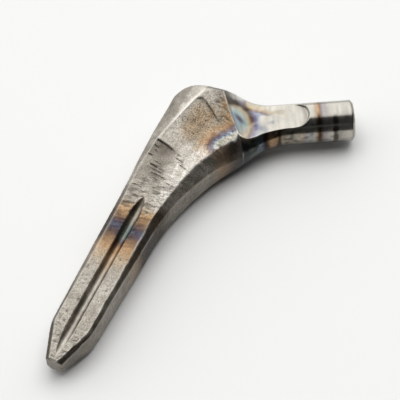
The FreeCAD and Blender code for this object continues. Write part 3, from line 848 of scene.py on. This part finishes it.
    # painted shade on the trunnion's inner side only
    dullRingShade = smoothStep(0.15, 0.4, sideways) * np.exp(-((reach - 49.4) / 0.8) ** 4)
    ringsShade = shade["heatRing"] * hump(reach, 43.9, 0.55) + shade["dullRingShade"] * dullRingShade
    neckTone -= smoothStep(-0.1, 0.35, sideways) * (ringsShade + 0.12 * smoothStep(45, 50, reach))
    neckTone -= (shade["endLine"] * smoothStep(rootStation + 34, rootStation + 36, station)
                 * hump(reach, 55.3, 0.28))

    bodyHeat = np.where(x > -25, np.maximum(shaft, corner), shaft)
    plainGroove = 1 - 0.65 * smoothStep(-44, -41.5, x) - 0.6 * hump(x, -49.3, 1.1)
    bodyTint = np.where(base < 2, 0.55, 0.85 - 0.1 * grainy) * np.where(inGroove, plainGroove, 1)
    heat = bodyHeat * (1 - onNeckPart) + neckHeat * onNeckPart + 0.012 * grainy * (1 - onNeckPart)
    tint = bodyTint * (1 - onNeckPart) + neckTint * onNeckPart
    addTone = bodyTone * (1 - onNeckPart) + neckTone * onNeckPart
    return np.clip(heat, 0, 1), np.clip(tint, 0, 1), addTone


heat, strength, addTone = heatFields()
tone = np.clip(tone + addTone, -1, 1)


def wornEdgesAndSheen():
    # edges painted bright, partly rubbed metal and partly painted highlight: column, amount and reach in
    # millimetres
    counts = upperCounts
    columns = form.shape[1]
    innerEdge = counts["wall"] + counts["bevel"]
    outerEdge = innerEdge + 2 * counts["face"] + counts["groove"]
    lines = [(innerEdge, 0.55, 0.35), (outerEdge, 1.0, 0.36), (counts["wall"], 0.35, 0.35),
             (outerEdge + counts["bevel"], 0.3, 0.3)]
    wornAndSheen = np.zeros(form.shape[:2])
    flatForm = form.reshape(-1, 3)
    patchy = valueNoise(flatForm, (3.5, 2.5, 2.5), 31) + 0.4 * valueNoise(flatForm, 0.8, 32)
    patchy = smoothStep(-0.7, 0.5, patchy).reshape(form.shape[:2])
    wide = 1 + 0.8 * hump(places, 0, 9)
    for column, amount, reach in lines:
        far = np.linalg.norm(form - form[:, column:column + 1], axis=2)
        spread = reach * (wide if column == outerEdge else np.ones(len(places)))
        along = np.ones(len(places))
        if column == outerEdge:
            along = (0.2 + 0.7 * hump(places, -1, 10)) * (1 - 0.6 * smoothStep(4, 7, places))
        elif column == counts["wall"]:
            along = 1 - smoothStep(-45, -25, places)
        broken = 0.8 + 0.2 * patchy if column == outerEdge else patchy
        wornAndSheen = np.maximum(wornAndSheen, amount * along[:, None] * hump(far, 0, spread[:, None]) * broken)
    rootLine = hump(places, rootStation, 0.35)[:, None] * (zones >= 1) * (zones < 10)
    return np.maximum(wornAndSheen, 0.2 * rootLine * patchy).reshape(-1)


wornAndSheen = wornEdgesAndSheen()

# the stem lies on its lower face, which slopes a little from its middle plane
layDown = math.radians(-stem["faceSlope"])
lift = stem["halfThickness"] * math.cos(layDown)


def laid(points):
    x, y, z = points[:, 0], points[:, 1], points[:, 2]
    c, s = math.cos(layDown), math.sin(layDown)
    return np.column_stack([x * c + z * s, y, -x * s + z * c + lift]) / 1000


def buildStemMesh():
    # rings joined, both ends closed
    rows, columns = worked.shape[:2]
    points = [worked.reshape(-1, 3)]
    values = [np.column_stack([onBody, heat, strength, skin, chatter, wornAndSheen, tone, foldShadowAndScale])]
    width = values[0].shape[1]
    faces = []
    index = np.arange(rows * columns).reshape(rows, columns)
    ahead = np.roll(index, -1, 1)
    faces += np.stack([index[:-1], ahead[:-1], ahead[1:], index[1:]], -1).reshape(-1, 4).tolist()
    total = rows * columns
    for row in (0, rows - 1):
        ring = worked[row]
        centre = ring.mean(0)
        value = values[0].reshape(rows, columns, width)[row]
        last = index[row]
        for share in (0.75, 0.5, 0.25):
            points.append(centre + (ring - centre) * share)
            # the turned end is even all over; at the tip the edge's marks die away inwards
            values.append(value.mean(0) + (value - value.mean(0)) * (0 if row else share))
            new = np.arange(total, total + columns)
            total += columns
            faces += np.stack([last, np.roll(last, -1), np.roll(new, -1), new], -1).tolist()
            last = new
        points.append(centre[None])
        values.append(value.mean(0)[None])
        faces += np.stack([last, np.roll(last, -1), np.full(columns, total)], -1).tolist()
        total += 1
    mesh = bpy.data.meshes.new("hipStemForging")
    mesh.from_pydata(laid(np.vstack(points)).tolist(), [], faces)
    mesh.validate()
    allValues = np.vstack(values)
    for column, name in enumerate(("forged", "oxide", "tint", "skin", "chatter", "wornAndSheen", "tone", "foldShadowAndScale")):
        layer = mesh.attributes.new(name, "FLOAT", "POINT")
        layer.data.foreach_set("value", allValues[:, column].astype(np.float32))
    bm = bmesh.new()
    bm.from_mesh(mesh)
    bmesh.ops.recalc_face_normals(bm, faces=bm.faces)
    bm.to_mesh(mesh)
    bm.free()
    mesh.shade_smooth()
    return mesh


stemMesh = buildStemMesh()
hipStem = bpy.data.objects.new("hipStemDressed", stemMesh)
bpy.context.scene.collection.objects.link(hipStem)
print("stem mesh", len(stemMesh.vertices), "vertices", len(stemMesh.polygons), "faces")

# forged skin: grain, pits and chatter as real relief, made by a geometry node tree
skinSizes = {"Grain Depth": 0.00009, "Grain Size": 0.00075, "Pit Depth": 0.00016, "Pit Spacing": 0.0016,
             "Chatter Depth": 0.00020, "Chatter Spacing": 0.0010, "Chatter Lean": -0.2, "Seed": 4.0}


def chatterWaves(tree, place, lean, seed, scaleAndShade):
    # low waves that run across the shaft, three times as long as they are wide
    leaning = addNode(tree, "ShaderNodeVectorRotate", {"Vector": place, "Angle": lean},
                      rotation_type="Z_AXIS")
    stretched = addNode(tree, "ShaderNodeVectorMath", {0: leaning.outputs[0], 1: (1.0, 0.3, 0.3)},
                        operation="MULTIPLY")
    links = {"Vector": stretched.outputs[0], "W": seed, "Scale": scaleAndShade, "Detail": 1.5, "Roughness": 0.55}
    return addNode(tree, "ShaderNodeTexNoise", links, noise_dimensions="4D").outputs[0]


def forgedSkinTree(material):
    tree = bpy.data.node_groups.new("forgedSkin", "GeometryNodeTree")
    face = tree.interface
    face.new_socket("Geometry", in_out="INPUT", socket_type="NodeSocketGeometry")
    for name in skinSizes:
        face.new_socket(name, in_out="INPUT", socket_type="NodeSocketFloat")
    face.new_socket("Geometry", in_out="OUTPUT", socket_type="NodeSocketGeometry")
    given = tree.nodes.new("NodeGroupInput").outputs
    place = addNode(tree, "GeometryNodeInputPosition").outputs[0]
    outwards = addNode(tree, "GeometryNodeInputNormal").outputs["Normal"]

    def share(name):
        return addNode(tree, "GeometryNodeInputNamedAttribute", {"Name": name},
                       data_type="FLOAT").outputs["Attribute"]

    def calc(operation, *values):
        return addNode(tree, "ShaderNodeMath", dict(enumerate(values)), operation=operation).outputs[0]

    grainScale = calc("DIVIDE", 1.0, given["Grain Size"])
    grain = addNode(tree, "ShaderNodeTexNoise", {"Vector": place, "W": given["Seed"], "Scale": grainScale,
            "Detail": 2.0, "Roughness": 0.6}, noise_dimensions="4D")
    grainPush = calc("MULTIPLY", calc("SUBTRACT", grain.outputs[0], 0.5),
                     calc("MULTIPLY", given["Grain Depth"], 3.0))
    pitScale = calc("DIVIDE", 1.0, given["Pit Spacing"])
    pits = addNode(tree, "ShaderNodeTexVoronoi", {"Vector": place, "W": given["Seed"], "Scale": pitScale,
            "Randomness": 1.0}, voronoi_dimensions="4D")
    pitShape = addNode(tree, "ShaderNodeMapRange", {"Value": pits.outputs["Distance"], 1: 0.12, 2: 0.34,
            3: 1.0, 4: 0.0}, interpolation_type="SMOOTHSTEP")
    pitPush = calc("MULTIPLY", pitShape.outputs[0], given["Pit Depth"])
    skinPush = calc("MULTIPLY", calc("SUBTRACT", grainPush, pitPush), share("skin"))
    chatterScale = calc("DIVIDE", 1.0, given["Chatter Spacing"])
    waves = chatterWaves(tree, place, given["Chatter Lean"], given["Seed"], chatterScale)
    wavePush = calc("MULTIPLY", calc("MULTIPLY", calc("SUBTRACT", waves, 0.5),
                                     calc("MULTIPLY", given["Chatter Depth"], 3.0)), share("chatter"))
    total = calc("ADD", skinPush, wavePush)
    offset = addNode(tree, "ShaderNodeVectorMath", {0: outwards, "Scale": total},
                     operation="SCALE").outputs[0]
    moved = addNode(tree, "GeometryNodeSetPosition", {"Geometry": given["Geometry"], "Offset": offset})
    real = addNode(tree, "GeometryNodeRealizeInstances", {"Geometry": moved.outputs[0]})
    dressed = addNode(tree, "GeometryNodeSetMaterial", {"Geometry": real.outputs[0], "Material": material})
    out = tree.nodes.new("NodeGroupOutput")
    tree.links.new(dressed.outputs[0], out.inputs[0])
    return tree


def applySkin(piece, material):
    tree = forgedSkinTree(material)
    modifier = piece.modifiers.new("forgedSkin", "NODES")
    modifier.node_group = tree
    for item in tree.interface.items_tree:
        if item.in_out == "INPUT" and item.name in skinSizes:
            modifier[item.identifier] = skinSizes[item.name]
    bpy.context.view_layer.update()
    shaped = piece.evaluated_get(bpy.context.evaluated_depsgraph_get())
    plain = bpy.data.meshes.new_from_object(shaped)
    piece.modifiers.remove(modifier)
    piece.data = plain
    plain.name = "hipStemForging"
    # nothing of the lower face goes below the bench
    coords = np.empty(len(plain.vertices) * 3, np.float32)
    plain.vertices.foreach_get("co", coords)
    coords[2::3] = np.maximum(coords[2::3], 0)
    plain.vertices.foreach_set("co", coords)
    plain.update()


# finish: titanium alloy, forged and descaled, with heat colours; the neck's flat and trunnion are machined.
# patches to a metre: grain 0.42 mm, clouds 2.4 mm, clots of scale 0.67 mm; the turning lines,
# about 0.1 mm apart on the real one, are drawn at 0.6 mm to show
finish = {
    "bare": "#BBB5AB", "bareDark": "#8C867C", "machined": "#B8B4AB", "rubbedAndSheen": "#E2DED6",
    "scaleAndShade": "#272119", "speck": "#5E5548",
    "colours": [(0.0, "#A29A8E"), (0.06, "#A8967E"), (0.12, "#AE8B64"), (0.17, "#9C7650"),
                (0.22, "#725342"), (0.27, "#5B4655"), (0.32, "#4A4A6C"), (0.38, "#5B6C8E"),
                (0.44, "#6F8DA0"), (0.48, "#83A09C"), (0.52, "#98A09A"), (0.56, "#A09B88"),
                (0.62, "#A69373"), (0.68, "#856A54"), (0.74, "#564544"), (0.80, "#5E5A72"),
                (0.86, "#7C8193"), (0.92, "#93979C"), (0.96, "#A09E9A"), (1.0, "#ABA59C")],
    "perMetre": {"grain": 2400, "cloud": 420, "clots": 1500, "turning": 1600},
    "roughForged": 0.44, "roughMachined": 0.19,
}


def heatTintedTitanium():
    # dull brown-grey forged skin with specks of scale, brighter where rubbed, with painted shade and painted
    # light laid in; the neck is machined smooth
    material = bpy.data.materials.new("heat tinted titanium, forged and machined")
    material.use_nodes = True
    tree = material.node_tree
    tree.nodes.clear()

    def mixed(factor, a, b, blend="MIX"):
        return addNode(tree, "ShaderNodeMix", {0: factor, 6: a, 7: b}, data_type="RGBA",
                       blend_type=blend).outputs[2]

    def ranged(value, low, high, fromLow=0.0, fromHigh=1.0):
        return addNode(tree, "ShaderNodeMapRange", {"Value": value, 1: fromLow, 2: fromHigh, 3: low,
                4: high}).outputs[0]

    def share(name):
        return addNode(tree, "ShaderNodeAttribute", attribute_name=name).outputs["Fac"]

    def calc(operation, *values):
        return addNode(tree, "ShaderNodeMath", dict(enumerate(values)), operation=operation).outputs[0]

    place = addNode(tree, "ShaderNodeTexCoord").outputs["Object"]
    forged, oxide, tint, skin, chatter, wornAndSheen, tone, foldShadowAndScale = [
        share(name) for name in ("forged", "oxide", "tint", "skin", "chatter", "wornAndSheen", "tone", "foldShadowAndScale")]
    grain = addNode(tree, "ShaderNodeTexNoise", {"Vector": place, "Scale": finish["perMetre"]["grain"],
            "Detail": 2, "Roughness": 0.6}).outputs[0]
    cloud = addNode(tree, "ShaderNodeTexNoise", {"Vector": place, "Scale": finish["perMetre"]["cloud"],
            "Detail": 4, "Roughness": 0.65}).outputs[0]
    shifted = calc("MULTIPLY_ADD", calc("SUBTRACT", cloud, 0.5), ranged(forged, 0.05, 0.11), oxide)
    ramp = addNode(tree, "ShaderNodeValToRGB", {"Fac": shifted})
    stops = ramp.color_ramp.elements
    stops.remove(stops[-1])
    stops[0].position, stops[0].color = 0.0, linearColour(finish["colours"][0][1])
    for spot, code in finish["colours"][1:]:
        stops.new(spot).color = linearColour(code)
    skinColour = mixed(ranged(cloud, 0, 1, 0.3, 0.7), linearColour(finish["bareDark"]),
                       linearColour(finish["bare"]))
    bare = mixed(forged, linearColour(finish["machined"]), skinColour)
    tinted = mixed(calc("MULTIPLY", tint, ranged(oxide, 0, 1, 0.0, 0.06)), bare, ramp.outputs["Color"])
    # tone mixes towards the dark scale colour and the pale rubbed colour; it carries painted shade and
    # painted light as well as real scale and rubbing
    darker = mixed(ranged(tone, 0, 0.9, 0.0, -1.0), tinted, linearColour(finish["scaleAndShade"]))
    lighter = mixed(ranged(tone, 0, 0.8, 0.0, 1.0), darker, linearColour(finish["rubbedAndSheen"]))
    speck = calc("MULTIPLY", ranged(grain, 1, 0, 0.36, 0.56), calc("MULTIPLY", skin, 0.72))
    specked = mixed(speck, lighter, linearColour(finish["speck"]))
    clots = addNode(tree, "ShaderNodeTexNoise", {"Vector": place, "Scale": finish["perMetre"]["clots"],
            "Detail": 3, "Roughness": 0.7}).outputs[0]
    clotted = calc("MULTIPLY", ranged(clots, 1, 0, 0.34, 0.44), ranged(skin, 0.1, 0.75, 0.7, 1.3))
    specked = mixed(clotted, specked, linearColour(finish["scaleAndShade"]))
    # the hollows of the chatter are painted darker, partly as dark scale and partly as painted shade, from
    # the same waves that shape them
    waves = chatterWaves(tree, place, skinSizes["Chatter Lean"], skinSizes["Seed"],
                         1 / skinSizes["Chatter Spacing"])
    hollow = calc("MULTIPLY", ranged(waves, 1, 0, 0.38, 0.52), calc("MULTIPLY", chatter, 0.42))
    specked = mixed(hollow, specked, linearColour(finish["scaleAndShade"]))
    # edges mix to the pale colour: rubbed metal, with painted highlights along the ridges
    rubbedAndSheen = mixed(calc("MULTIPLY", wornAndSheen, 0.85), specked, linearColour(finish["rubbedAndSheen"]))
    # fold lines: dark scale in cuts and pocks, painted shadow at the feet of the crease and the lap
    colour = mixed(calc("MULTIPLY", foldShadowAndScale, 0.92), rubbedAndSheen, linearColour(finish["scaleAndShade"]))
    rough = calc("ADD", ranged(forged, finish["roughMachined"], finish["roughForged"]),
                 calc("MULTIPLY", calc("SUBTRACT", cloud, 0.5), calc("MULTIPLY", forged, 0.25)))
    bump = addNode(tree, "ShaderNodeBump", {"Strength": calc("MULTIPLY", skin, 0.8), "Distance": 0.0003,
            "Height": grain}).outputs[0]
    # turning lines round the neck
    turned = addNode(tree, "ShaderNodeMapping", {"Vector": place, "Rotation": (0, 0, neckAngle)}).outputs[0]
    squeezed = addNode(tree, "ShaderNodeVectorMath", {0: turned, 1: (1.0, 0.04, 0.04)},
                       operation="MULTIPLY").outputs[0]
    lines = addNode(tree, "ShaderNodeTexNoise", {"Vector": squeezed, "Scale": finish["perMetre"]["turning"],
            "Detail": 2, "Roughness": 0.7}).outputs[0]
    machined = calc("SUBTRACT", 1.0, forged)
    turnedLinks = {"Strength": calc("MULTIPLY", machined, 0.22), "Distance": 0.00008, "Height": lines,
                   "Normal": bump}
    machinedBump = addNode(tree, "ShaderNodeBump", turnedLinks).outputs[0]
    rough = calc("ADD", rough, calc("MULTIPLY", calc("SUBTRACT", lines, 0.5),
            calc("MULTIPLY", machined, 0.25)))
    shader = addNode(tree, "ShaderNodeBsdfPrincipled", {"Base Color": colour, "Metallic": 1.0,
            "Roughness": rough, "Normal": machinedBump})
    addNode(tree, "ShaderNodeOutputMaterial", {"Surface": shader.outputs[0]})
    return material


titanium = heatTintedTitanium()
hipStem.data.materials.append(titanium)
applySkin(hipStem, titanium)
print("skin made")

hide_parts("hip_stem")
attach(hipStem, "root")

# bench, light and camera
bench = {"half": 3.0, "colour": "#BEBEBD", "roughness": 0.9}
benchMesh = bpy.data.meshes.new("paleBench")
h = bench["half"]
benchMesh.from_pydata([(-h, -h, 0), (h, -h, 0), (h, h, 0), (-h, h, 0)], [], [(0, 1, 2, 3)])
benchTop = bpy.data.objects.new("paleBench", benchMesh)
bpy.context.scene.collection.objects.link(benchTop)
paper = bpy.data.materials.new("matt white paper")
paper.use_nodes = True
paperShader = paper.node_tree.nodes["Principled BSDF"]
paperShader.inputs["Base Color"].default_value = linearColour(bench["colour"])
paperShader.inputs["Roughness"].default_value = bench["roughness"]
benchMesh.materials.append(paper)

light = {"edgeFrom": -0.08, "edgeTo": 0.16, "heading": 50, "tilt": 5.6, "bright": 1.9, "dark": 0.075}
world = bpy.data.worlds.new("softBackLight")
bpy.context.scene.world = world
world.use_nodes = True
tree = world.node_tree
tree.nodes.clear()
tilt = math.radians(light["tilt"])
heading = math.radians(light["heading"])
towards = Vector((math.cos(heading) * math.cos(tilt), math.sin(heading) * math.cos(tilt), math.sin(tilt)))
direction = addNode(tree, "ShaderNodeTexCoord").outputs["Generated"]
facing = addNode(tree, "ShaderNodeVectorMath", {0: direction, 1: towards},
                 operation="DOT_PRODUCT").outputs["Value"]
amount = addNode(tree, "ShaderNodeMapRange", {"Value": facing, 1: light["edgeFrom"], 2: light["edgeTo"],
        3: light["dark"], 4: light["bright"]}, interpolation_type="SMOOTHSTEP")
sky = addNode(tree, "ShaderNodeBackground", {"Color": (1, 1, 1, 1), "Strength": amount.outputs[0]})
addNode(tree, "ShaderNodeOutputWorld", {"Surface": sky.outputs[0]})

# a wide soft box high over the bench, for the floor's close soft shadows; metal doesn't mirror it
overhead = {"power": 10.0, "width": 1.0, "place": (0.15, 0.05, 1.0)}
boxData = bpy.data.lights.new("overheadSoftBox", "AREA")
boxData.shape = "DISK"
boxData.size = overhead["width"]
boxData.energy = overhead["power"]
softBox = bpy.data.objects.new("overheadSoftBox", boxData)
softBox.location = overhead["place"]
softBox.rotation_euler = Vector(overhead["place"]).to_track_quat("Z", "Y").to_euler()
softBox.visible_glossy = False
bpy.context.scene.collection.objects.link(softBox)

bpy.context.scene.view_settings.view_transform = "Standard"
view = {"from": (-0.30967, -0.15208, 0.51683), "at": (-0.02269, -0.01520, 0.008), "lens": 163.4}
cameraData = bpy.data.cameras.new("benchCamera")
cameraData.lens = view["lens"]
cameraData.sensor_fit = "HORIZONTAL"
cameraData.sensor_width = 36
cameraData.clip_start = 0.01
camera = bpy.data.objects.new("benchCamera", cameraData)
camera.location = view["from"]
camera.rotation_euler = (Vector(view["at"]) - Vector(view["from"])).to_track_quat("-Z", "Y").to_euler()
bpy.context.scene.collection.objects.link(camera)
bpy.context.scene.camera = camera

print("scene ready")
